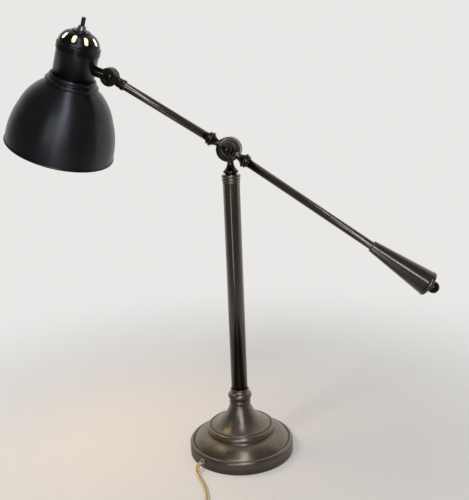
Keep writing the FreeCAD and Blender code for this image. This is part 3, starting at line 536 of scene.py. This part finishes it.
foot_profile = softened(outline(
    (5.05, 92.0), (16.5, 92.0), (16.5, 94.4),
    (20.2, 101.0, 15.7, 106.6), (14.55, 109.8), (15.95, 111.4, 14.55, 113.0),
    (13.8, 113.0), (13.8, 106.0), (5.05, 106.0), (5.05, 92.0),
))
foot = turned("column_foot_collar", foot_profile, columns=128)
tube_profile = softened(outline(
    (13.75, 106.0), (13.75, 470.5), (12.25, 470.5), (12.25, 106.0), (13.75, 106.0),
), reach=0.2)
column = turned("column_pipe", tube_profile, columns=160)
top_profile = softened(outline(
    (13.8, 463.5), (14.35, 463.5), (14.35, 465.3), (14.0, 465.9), (14.0, 466.7),
    (14.95, 468.7, 14.25, 470.7), (14.25, 471.7), (15.5, 474.5, 14.25, 477.0),
    (5.05, 477.0), (5.05, 470.5), (13.8, 470.5), (13.8, 463.5),
))
top = turned("column_top_collar", top_profile, columns=128)

# Nickel on the tubes, polished brighter than the base, with finer marks.
tube_nickel = brushed_metal("brushed_nickel_tube", "#6b655c", "#746e65", 0.2, 3.0, 0.000001, 0.5)
for piece, node_name, finish, slot_name in (
        (foot, "foot_collar", antique_nickel, "brushed_nickel"),
        (column, "column_tube", tube_nickel, "rod_nickel"),
        (top, "top_collar", antique_nickel, "brushed_nickel")):
    piece.data.materials.append(finish)
    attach(piece, "stand")
    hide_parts(node_name)

# ---- Hub --------------------------------------------------------------------
# Two cast discs clamped face to face: the rear one stands on the column's neck,
# the front one carries the arm. A bolt goes through both into the ball knob.

hub_middle = np.array([0.0, -0.0153, 0.5173])

# Cast and tumbled nickel: the rings of a lathe are missing, the skin is
# smoother and darker, with small dull patches.
cast_nickel = mottled("tumbled_cast_nickel", {"Scale": 130.0, "Detail": 5.0, "Roughness": 0.6},
                      ("#3f3b35", "#4f4a43"), {"Metallic": 1.0}, rough=(0.14, 0.26), bump=(0.1, 5e-06), ends=(0.3, 0.7))

# Dark polished nickel on the ball knobs and the screw: nearly a mirror.
ball_nickel = mottled("dark_polished_nickel", {"Scale": 220.0, "Detail": 4.0},
                      ("#2f2c29", "#413d38"), {"Metallic": 1.0}, rough=(0.1, 0.2))

# Vulcanised fibre of the thin washers, dark brown and matt.
fibre = mottled("vulcanised_fibre", {"Scale": 700.0, "Detail": 4.0},
                ("#1b1815", "#2d2823"), {"Roughness": 0.7})


def smooth_copy(node_name, piece_name, finish, body, edge_angle=32.0,
                edge_width=0.00035):
    """A copy of a CAD node with its loose triangles joined, its sharp edges
    given a small round, and its curved faces shaded smooth."""
    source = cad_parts[node_name]
    mesh = source.data.copy()
    mesh.name = piece_name
    mesh.materials.clear()
    mesh.materials.append(finish)
    work = bmesh.new()
    work.from_mesh(mesh)
    bmesh.ops.remove_doubles(work, verts=work.verts, dist=2e-6)
    bmesh.ops.dissolve_limit(work, angle_limit=math.radians(0.6), verts=work.verts,
                             edges=work.edges)
    work.to_mesh(mesh)
    work.free()
    mesh.shade_smooth()
    mesh.set_sharp_from_angle(angle=math.radians(edge_angle))
    piece = bpy.data.objects.new(piece_name, mesh)
    bpy.context.scene.collection.objects.link(piece)
    bevel = piece.modifiers.new("edges", "BEVEL")
    bevel.width = edge_width
    bevel.segments = 2
    bevel.limit_method = "ANGLE"
    bevel.angle_limit = math.radians(edge_angle)
    bevel.harden_normals = False
    bevel.use_clamp_overlap = True
    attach(piece, body)
    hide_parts(node_name)
    return piece


smooth_copy("hub_neck", "hub_rear_disc", cast_nickel, "stand")
smooth_copy("hub_bolt", "hub_clamp_bolt", cast_nickel, "stand")
smooth_copy("arm_hub", "hub_front_disc", cast_nickel, "arm")
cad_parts["hub_friction_washer"].data.materials.clear()
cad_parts["hub_friction_washer"].data.materials.append(fibre)

# Ball knob: a turned ball on a short neck and foot, screwed on to the bolt.
knob_seat = -15.3 - 7.0 + 2.2 - 0.1
knob_middle = knob_seat - 2.2 - 8.4 * 0.86
ball_angle = np.radians(np.linspace(0, 180 - 41.0, 40))
knob_profile = np.vstack([
    np.stack([8.4 * np.sin(ball_angle), -knob_middle + 8.4 * np.cos(ball_angle)], 1),
    outline((5.6, -knob_seat + 1.9), (7.2, -knob_seat + 1.2), (7.39, -knob_seat + 0.6),
            (7.39, -knob_seat),
            (4.05, -knob_seat), (4.05, -knob_middle), (0.0, -knob_middle)),
])
towards_front = np.stack([[1.0, 0.0, 0.0], [0.0, 0.0, 1.0], [0.0, -1.0, 0.0]], 1)
knob = turned("clamp_ball_knob", knob_profile, origin=(0, 0, 0.5173), axes=towards_front,
              columns=96)
knob.data.materials.append(ball_nickel)
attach(knob, "clamp_knob")
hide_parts("hub_knob")

# ---- Arm rods and counterweight ---------------------------------------------
# Two nickel tubes pressed into the hub's ferrules, 2.4 degrees out of line, and
# a long solid cone with a grooved flange and a small ball on its far end.

shade_rise = math.radians(32.8)
weight_drop = math.radians(35.2)
shade_way = np.array([-math.cos(shade_rise), 0.0, math.sin(shade_rise)])
weight_way = np.array([math.cos(weight_drop), 0.0, -math.sin(weight_drop)])


def axes_along(way, reference=(0.0, 1.0, 0.0)):
    """Three columns x, y and z with z along the way, y nearest the reference
    and x = y cross z."""
    y = np.array(reference) - np.dot(reference, way) * way
    y /= np.linalg.norm(y)
    return np.stack([np.cross(y, way), y, way], 1)


shade_rod_profile = softened(outline((6.5, 26.0), (6.5, 200.0), (5.0, 200.0), (5.0, 26.0),
                                     (6.5, 26.0)), reach=0.2)
shade_rod = turned("rod_to_shade", shade_rod_profile, hub_middle, axes_along(shade_way), 96)
weight_rod_profile = softened(outline((6.5, 26.0), (6.5, 328.0), (5.0, 328.0), (5.0, 26.0),
                                      (6.5, 26.0)), reach=0.2)
weight_rod = turned("rod_to_weight", weight_rod_profile, hub_middle, axes_along(weight_way), 96)
cone_profile = softened(outline(
    (6.55, 268.0), (8.1, 268.0), (9.1, 269.2), (19.6, 368.8), (18.3, 369.5), (19.6, 370.2),
    (20.5, 373.0, 18.4, 376.0), (3.05, 376.0), (3.05, 362.0), (0.0, 362.0),
), reach=0.5)
cone = turned("counterweight_cone", cone_profile, hub_middle, axes_along(weight_way), 160)
ball_middle = 376.0 + 9.6 * 0.72
ball_angle = np.radians(np.linspace(0, 136.0, 36))
finial_profile = np.vstack([
    np.stack([9.6 * np.sin(ball_angle), ball_middle + 9.6 * np.cos(ball_angle)], 1),
    [(6.62, 376.05), (3.0, 376.05), (3.0, 363.0), (0.0, 363.0)],
])
finial = turned("end_ball", finial_profile, hub_middle, axes_along(weight_way), 96)
for piece, node_name, finish, slot_name in (
        (shade_rod, "arm_rod_shade_side", tube_nickel, "rod_nickel"),
        (weight_rod, "arm_rod_weight_side", tube_nickel, "rod_nickel"),
        (cone, "counterweight", tube_nickel, "rod_nickel"),
        (finial, "finial_ball", ball_nickel, "ball_nickel")):
    piece.data.materials.append(finish)
    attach(piece, "arm")
    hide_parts(node_name)

# Inner leads in the column and the arm, out of sight: pale vinyl, slightly waxy.
inner_vinyl = mottled("pale_vinyl", {"Scale": 180.0, "Detail": 3.0},
                      ("#b3a68a", "#d3c8ab"), {"Roughness": 0.4, "IOR": 1.53})
for node_name in ("column_lead", "arm_lead"):
    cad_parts[node_name].data.materials.clear()
    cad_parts[node_name].data.materials.append(inner_vinyl)

# ---- Knuckle ----------------------------------------------------------------
# Two cast half eyes on one screw: the rear one turns on the rod's end, the
# front one is screwed to the shade's housing, and a fibre washer lies between.

smooth_copy("knuckle_rod_eye", "knuckle_rear_half", cast_nickel, "knuckle")
smooth_copy("knuckle_shade_eye", "knuckle_front_half", cast_nickel, "shade")
smooth_copy("knuckle_screw", "knuckle_slotted_screw", ball_nickel, "knuckle",
            edge_width=0.0002)
for node_name, finish in (("knuckle_washer", fibre), ("knuckle_nut", zinc), ("stub_nut", zinc),
                          ("socket_strap", zinc)):
    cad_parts[node_name].data.materials.clear()
    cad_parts[node_name].data.materials.append(finish)

# ---- Shade ------------------------------------------------------------------
# Spun steel bell with two rings at its neck and a rolled rim, on a straight
# housing, both in a dark gunmetal finish outside and white paint inside.


def turn_matrix(axis, degrees):
    """Rotation about an axis: I + sin t K + (1 - cos t) K K, with K the cross
    product matrix of the unit axis."""
    x, y, z = np.array(axis, float) / np.linalg.norm(axis)
    k = np.array([[0, -z, y], [z, 0, -x], [-y, x, 0]])
    t = math.radians(degrees)
    return np.eye(3) + math.sin(t) * k + (1 - math.cos(t)) * (k @ k)


knuckle_middle = hub_middle + 0.218 * shade_way
shade_axes = turn_matrix((0, 1, 0), 32.8) @ turn_matrix((1, 0, 0), 12.5) @ turn_matrix((0, 1, 0),
                                                                                       -10.5)
shade_middle = knuckle_middle - 0.060 * shade_axes[:, 0]

gunmetal = brushed_metal("spun_gunmetal", "#3c3c3e", "#474749", 0.36, 0.9, 0.000003, 0.75)

bell_outside = outline(
    (33.25, -20.0), (36.45, -20.6), (37.65, -23.4, 36.85, -26.2), (38.05, -27.4), (41.65, -29.0),
    (42.65, -31.8, 41.85, -34.4), (44.5, -37.0), (63.5, -56.0, 76.0, -80.0), (85.6, -109.0, 89.0,
                                                                              -143.2),
    (90.4, -144.6, 89.0, -146.0), (88.4, -146.0),
)
bell_inside = outline(
    (88.4, -146.0), (88.4, -143.2), (85.0, -108.8, 75.52, -80.3), (63.14, -56.48, 44.26, -37.6),
    (34.45, -34.6), (33.25, -33.0), (33.25, -20.0),
)
bell_profile = softened(np.vstack([bell_outside, bell_inside[1:]]), reach=0.3)
bell = turned("shade_bell_spun", bell_profile, shade_middle, shade_axes, 256)

# White stove enamel inside the bell: it throws the light down.
white_enamel = mottled("white_reflector_enamel", {"Scale": 350.0, "Detail": 2.0},
                       ("#dcd8cf", "#f1eee6"), {"Roughness": 0.35}, bump=(0.08, 0.0002))



def paint_inside(piece, outside, inside, low, high, middle):
    """Second finish on the faces between two heights on the shade's axis that
    look at a middle point on it: n . (c - m) < -0.4 |c - m|."""
    piece.data.materials.clear()
    piece.data.materials.append(outside)
    piece.data.materials.append(inside)
    normals = np.zeros(len(piece.data.polygons) * 3)
    piece.data.polygons.foreach_get("normal", normals)
    centres = np.zeros(len(piece.data.polygons) * 3)
    piece.data.polygons.foreach_get("center", centres)
    centres = (centres.reshape(-1, 3) - shade_middle) @ shade_axes
    from_middle = centres - (0.0, 0.0, middle)
    looking = ((normals.reshape(-1, 3) @ shade_axes) * from_middle).sum(1) / np.linalg.norm(from_middle, axis=1)
    inner = (looking < -0.4) & (centres[:, 2] > low) & (centres[:, 2] < high)
    piece.data.polygons.foreach_set("material_index", inner.astype(np.int32))


paint_inside(bell, gunmetal, white_enamel, -0.1435, -0.0355, -0.10)

housing_profile = softened(outline((33.2, -27.0), (33.2, 28.5), (32.2, 28.5), (32.2, -27.0),
                                   (33.2, -27.0)), reach=0.2)
housing = turned("socket_housing_tube", housing_profile, shade_middle, shade_axes, 160)
paint_inside(housing, gunmetal, white_enamel, -0.03, 0.03, 0.0)

collar_profile = softened(outline((5.05, 50.0), (14.5, 50.0), (14.5, 51.4), (13.9, 52.0),
                                  (5.05, 52.0), (5.05, 50.0)), reach=0.25)
collar = turned("cap_top_disc", collar_profile, shade_middle, shade_axes, 96)
collar.data.materials.append(gunmetal)
for piece, node_name, slot_name in ((bell, "shade_bell", "shade_metal"),
                                    (housing, "socket_housing", "shade_metal"),
                                    (collar, "cap_collar", "brushed_nickel")):
    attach(piece, "shade")
    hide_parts(node_name)

# Slotted cap: the same gunmetal, with its marks taken from its own place
# because its slots are cut through.
cap_gunmetal = mottled("cap_gunmetal", {"Scale": 300.0, "Detail": 5.0, "Roughness": 0.6},
                       ("#2c2c2d", "#383838"), {"Metallic": 1.0}, rough=(0.24, 0.32))
cap = smooth_copy("vent_cap", "vented_cap", cap_gunmetal, "shade", edge_angle=38.0,
                  edge_width=0.00025)

# The cap's inside is as white as the bell's, with a painted glow: the enamel gives off light of its own, a little
# uneven, standing in for the bulb's light falling on it from below.
glowing_enamel = new_material("white_enamel_painted_glow")
painted_glow_place = add_node(glowing_enamel, "ShaderNodeTexCoord")
painted_glow_noise = add_node(glowing_enamel, "ShaderNodeTexNoise", {"Scale": 350.0, "Detail": 2.0},
                    [("Vector", painted_glow_place, "Object")])
# Painted glow: the enamel's own emission, between 1 and 1.5 strong, following the noise.
painted_glow_strength = add_node(glowing_enamel, "ShaderNodeMapRange", {"To Min": 1.0, "To Max": 1.5},
                    [("Value", painted_glow_noise, "Fac")])
painted_glow_shader = add_node(glowing_enamel, "ShaderNodeBsdfPrincipled",
                      {"Base Color": linear("#eeeae2"), "Roughness": 0.4,
                       "Emission Color": linear("#fff3dc")},
                      [("Emission Strength", painted_glow_strength, "Result")])
add_node(glowing_enamel, "ShaderNodeOutputMaterial", links=[("Surface", painted_glow_shader, "BSDF")])
# The painted glow goes on the cap's inner faces only.
paint_inside(cap, cap_gunmetal, glowing_enamel, 0.0, 0.06, 0.02)

# ---- Socket and bulb --------------------------------------------------------
# White porcelain-like socket and switch case on a zinc strap, and a frosted bulb that is switched on: its light and the
# cap's painted inner glow show through the cap's slots as a white glow.

moulding = mottled("white_moulded_plastic", {"Scale": 500.0, "Detail": 4.0},
                   ("#d9d5cb", "#ebe8df"), {"Roughness": 0.3, "IOR": 1.5})
smooth_copy("lamp_socket", "socket_shell", moulding, "shade")
smooth_copy("switch_body", "switch_case", moulding, "shade")
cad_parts["bulb_base"].data.materials.clear()
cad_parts["bulb_base"].data.materials.append(zinc)

# Frosted glass, lit: warm white, its glow a little uneven in a fine noise.
lit_glass = new_material("lit_frosted_glass")
glass_place = add_node(lit_glass, "ShaderNodeTexCoord")
glass_frost = add_node(lit_glass, "ShaderNodeTexNoise", {"Scale": 600.0, "Detail": 3.0},
                       [("Vector", glass_place, "Object")])
glass_glow = add_node(lit_glass, "ShaderNodeMapRange", {"To Min": 9.0, "To Max": 11.0},
                      [("Value", glass_frost, "Fac")])
glass_shader = add_node(lit_glass, "ShaderNodeBsdfPrincipled",
                        {"Base Color": linear("#fff6e4"), "Roughness": 0.5,
                         "Emission Color": linear("#ffe9c4")},
                        [("Emission Strength", glass_glow, "Result")])
add_node(lit_glass, "ShaderNodeOutputMaterial", links=[("Surface", glass_shader, "BSDF")])
bulb_profile = outline(
    (13.5, -28.1), (14.5, -38.0), (24.0, -58.0, 30.0, -80.0), (21.21, -101.21, 0.0, -110.0),
)
bulb_inside = outline(
    (0.0, -109.2), (20.65, -100.65, 29.2, -80.0), (23.43, -58.57, 13.7, -38.0), (12.7,
                                                                                 -28.1), (13.5,
                                                                                          -28.1),
)
bulb = turned("frosted_bulb", np.vstack([bulb_profile, bulb_inside]), shade_middle, shade_axes, 96)
bulb.data.materials.append(lit_glass)
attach(bulb, "shade")
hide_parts("bulb_glass")

# ---- Switch -----------------------------------------------------------------
# Turn switch on top of the cap: a plain conical nut of pale nickel and a slim
# black phenolic knob.

nut_profile = softened(outline(
    (5.05, 52.0), (7.6, 52.0), (7.6, 53.6), (5.5, 59.5), (3.35, 59.5), (3.35, 58.5), (5.05,
                                                                                      58.5), (5.05,
                                                                                              52.0),
), reach=0.4)
nut = turned("switch_nut_cone", nut_profile, shade_middle, shade_axes, 96)
satin_nickel = brushed_metal("satin_nickel_nut", "#85827c", "#a09d96", 0.24, 0.4, 0.000002, 0.4)
nut.data.materials.append(satin_nickel)
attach(nut, "shade")
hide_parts("switch_cone_nut")

stem_profile = softened(outline(
    (0.0, 72.5), (3.3, 72.5), (3.3, 58.55), (1.8, 58.55), (1.8, 43.0), (0.0, 43.0),
), reach=0.6)
stem = turned("switch_stem_knob", stem_profile, shade_middle, shade_axes, 64)
glossy_black = new_material("glossy_black_phenolic")
black_place = add_node(glossy_black, "ShaderNodeTexCoord")
black_haze = add_node(glossy_black, "ShaderNodeTexNoise", {"Scale": 400.0, "Detail": 3.0},
                      [("Vector", black_place, "Object")])
black_rough = add_node(glossy_black, "ShaderNodeMapRange", {"To Min": 0.15, "To Max": 0.3},
                       [("Value", black_haze, "Fac")])
black_shader = add_node(glossy_black, "ShaderNodeBsdfPrincipled",
                        {"Base Color": linear("#080808"), "IOR": 1.6},
                        [("Roughness", black_rough, "Result")])
add_node(glossy_black, "ShaderNodeOutputMaterial", links=[("Surface", black_shader, "BSDF")])
stem.data.materials.append(glossy_black)
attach(stem, "switch")
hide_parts("switch_knob")

# ---- Floor and light --------------------------------------------------------
# A pale floor that fades into a pale backdrop, a key from the upper left and the
# bulb's warm pool. Metal sees the room in front darker than behind, as in the
# photo, with a window's ribbons there for the streaks on the tubes.

world = bpy.data.worlds.new("studio")
bpy.context.scene.world = world
world.use_nodes = True
world.node_tree.nodes.clear()
pale_colour = linear("#e9e8e6")
world_path = add_node(world, "ShaderNodeLightPath")
world_way = add_node(world, "ShaderNodeTexCoord")
world_parts = add_node(world, "ShaderNodeSeparateXYZ", links=[("Vector", world_way, "Generated")])
behind = add_node(world, "ShaderNodeMapRange",
                  {"From Min": -0.1, "From Max": 0.75, "To Min": 0.2, "To Max": 1.0,
                   "interpolation_type": "SMOOTHSTEP"},
                  [("Value", world_parts, "Y")])
mirrored = add_node(world, "ShaderNodeMath", {"operation": "MAXIMUM"},
                    [(0, world_path, "Is Glossy Ray"), (1, world_path, "Is Transmission Ray")])
room_light = add_node(world, "ShaderNodeBackground", {"Color": linear("#e2e4e8"), "Strength": 0.6})
mirrored_backdrop = add_node(world, "ShaderNodeBackground", {"Color": pale_colour},
                             [("Strength", behind, "Result")])
backdrop = add_node(world, "ShaderNodeBackground", {"Color": pale_colour, "Strength": 1.0})
seen_in_metal = add_node(world, "ShaderNodeMixShader", links=[
    (0, mirrored, "Value"), (1, room_light, "Background"), (2, mirrored_backdrop, "Background")])
sky = add_node(world, "ShaderNodeMixShader", links=[
    (0, world_path, "Is Camera Ray"), (1, seen_in_metal, "Shader"), (2, backdrop, "Background")])
add_node(world, "ShaderNodeOutputWorld", links=[("Surface", sky, "Shader")])

floor_mesh = bpy.data.meshes.new("pale_floor")
floor_mesh.from_pydata([(-9, -9, 0), (9, -9, 0), (9, 9, 0), (-9, 9, 0)], [], [(0, 1, 2, 3)])
floor = bpy.data.objects.new("pale_floor", floor_mesh)
bpy.context.scene.collection.objects.link(floor)
pale = new_material("pale_ground")
ground_path = add_node(pale, "ShaderNodeLightPath")
ground_place = add_node(pale, "ShaderNodeTexCoord")
ground_reach = add_node(pale, "ShaderNodeVectorMath", {"operation": "LENGTH"},
                        [(0, ground_place, "Object")])
fade = add_node(pale, "ShaderNodeMapRange",
                {"From Min": 0.15, "From Max": 1.1, "To Min": 0.35, "To Max": 1.0,
                 "interpolation_type": "SMOOTHSTEP"},
                [("Value", ground_reach, "Value")])
ground_mirrored = add_node(pale, "ShaderNodeMath", {"operation": "MAXIMUM"},
                           [(0, ground_path, "Is Glossy Ray"),
                            (1, ground_path, "Is Transmission Ray")])
ground_seen = add_node(pale, "ShaderNodeMath", {"operation": "MAXIMUM"},
                       [(0, ground_path, "Is Camera Ray"), (1, ground_mirrored, "Value")])
ground_share = add_node(pale, "ShaderNodeMath", {"operation": "MULTIPLY"},
                        [(0, ground_seen, "Value"), (1, fade, "Result")])
ground_parts = add_node(pale, "ShaderNodeSeparateXYZ", links=[("Vector", ground_place, "Object")])
ground_behind = add_node(pale, "ShaderNodeMapRange",
                         {"From Min": -0.35, "From Max": 0.6, "To Min": 0.2, "To Max": 1.0,
                          "interpolation_type": "SMOOTHSTEP"},
                         [("Value", ground_parts, "Y")])
ground_shader = add_node(pale, "ShaderNodeBsdfPrincipled",
                         {"Base Color": linear("#d9d7d3"), "Roughness": 0.9,
                          "Specular IOR Level": 0.1})
ground_glow = add_node(pale, "ShaderNodeEmission", {"Color": pale_colour, "Strength": 1.0})
ground_mix = add_node(pale, "ShaderNodeMixShader", links=[
    (0, ground_share, "Value"), (1, ground_shader, "BSDF"), (2, ground_glow, "Emission")])
ground_in_metal = add_node(pale, "ShaderNodeEmission", {"Color": pale_colour},
                           [("Strength", ground_behind, "Result")])
ground_all = add_node(pale, "ShaderNodeMixShader", links=[
    (0, ground_mirrored, "Value"), (1, ground_mix, "Shader"), (2, ground_in_metal, "Emission")])
add_node(pale, "ShaderNodeOutputMaterial", links=[("Surface", ground_all, "Shader")])
floor_mesh.materials.append(pale)


def soft_lamp(name, place, towards, size, power, hex_code):
    """An area lamp at a place, facing a point: its z axis points back along
    place - towards. Neither the camera nor metal shows it."""
    lamp = bpy.data.lights.new(name, "AREA")
    lamp.shape = "RECTANGLE"
    lamp.size, lamp.size_y = size
    lamp.energy = power
    lamp.color = linear(hex_code)[:3]
    thing = bpy.data.objects.new(name, lamp)
    thing.visible_camera = False
    thing.visible_glossy = False
    back = np.array(place, float) - np.array(towards, float)
    lamp_axes = axes_along(back / np.linalg.norm(back), (0.0, 0.0, 1.0))
    thing.matrix_world = Matrix.Translation(place) @ Matrix(lamp_axes.tolist()).to_4x4()
    bpy.context.scene.collection.objects.link(thing)


# The window strip: its light on the floor from 0.2 m in front of the base, then
# an arc around the lamp that leans to the right as it rises.
arc_radius, arc_height, half_strip = 1.3, 0.42, 0.08
floor_reach = np.linspace(0.2, 1.2, 11)
floor_rows = len(floor_reach)
rise = np.radians(np.linspace(-17.0, 78.0, 49))
lean = np.radians(-98.0 + 26.0 * np.clip((np.degrees(rise) + 15.0) / 50.0, 0.0, 1.0))
reach = np.concatenate([floor_reach, arc_radius * np.cos(rise)])
height = np.concatenate([np.full(floor_rows, 0.004), arc_height + arc_radius * np.sin(rise)])
lean = np.concatenate([np.full(floor_rows, lean[0]), lean])
half_wide = np.concatenate([0.0615 * floor_reach, np.full(len(rise), half_strip)])
strip_middle = np.stack([reach * np.cos(lean), reach * np.sin(lean), height], axis=1)
strip_side = half_wide[:, None] * np.stack([-np.sin(lean), np.cos(lean), 0 * lean], axis=1)


def metal_only(name, one_side, other_side, material):
    """A ribbon between two rows of points, which only metal shows: the camera,
    the diffuse light and the shadows leave it out."""
    count = len(one_side)
    step = np.arange(count - 1)
    faces = np.stack([step, step + 1, step + 1 + count, step + count], axis=1)
    mesh = bpy.data.meshes.new(name)
    mesh.from_pydata(np.concatenate([one_side, other_side]).tolist(), [], faces.tolist())
    mesh.materials.append(material)
    ribbon = bpy.data.objects.new(name, mesh)
    ribbon.visible_camera = False
    ribbon.visible_diffuse = False
    ribbon.visible_shadow = False
    bpy.context.scene.collection.objects.link(ribbon)


def daylight(name, strength):
    """A cool white glow."""
    glow = new_material(name)
    light = add_node(glow, "ShaderNodeEmission", {"Color": linear("#eef3ff"), "Strength": strength})
    add_node(glow, "ShaderNodeOutputMaterial", links=[("Surface", light, "Emission")])
    return glow


window_glow = daylight("window_glow", 6.0)
floor_glow = daylight("window_on_floor_glow", 2.6)
# The rows between 7 degrees down and 5 up are left out, so that the hub's flat
# faces stay dark.
strip_left, strip_right = strip_middle - strip_side, strip_middle + strip_side
low_end, high_start = floor_rows + 6, floor_rows + 11
metal_only("window_on_floor", strip_left[:low_end], strip_right[:low_end], floor_glow)
metal_only("window_strip", strip_left[high_start:], strip_right[high_start:], window_glow)

# The window's cross bar, 12 degrees up, for the streaks along the arm.
bar_radius, bar_foot, bar_height = 1.6, 0.66, 0.2
bar_way = np.radians(np.linspace(-112.0, -62.0, 26))
bar_low = np.stack([bar_radius * np.cos(bar_way), bar_radius * np.sin(bar_way),
                    bar_foot + 0 * bar_way], axis=1)
metal_only("window_bar", bar_low, bar_low + np.array([0.0, 0.0, bar_height]), window_glow)

soft_lamp("key", (-1.1, -1.5, 2.2), (0.0, 0.0, 0.2), (0.5, 0.5), 18.0, "#fff8ee")
soft_lamp("bulb_pool", (-0.275, -0.005, 0.50), (-0.03, -0.02, 0.0), (0.16, 0.16), 1.2, "#ffcf94")

bpy.context.scene.view_settings.view_transform = "Standard"
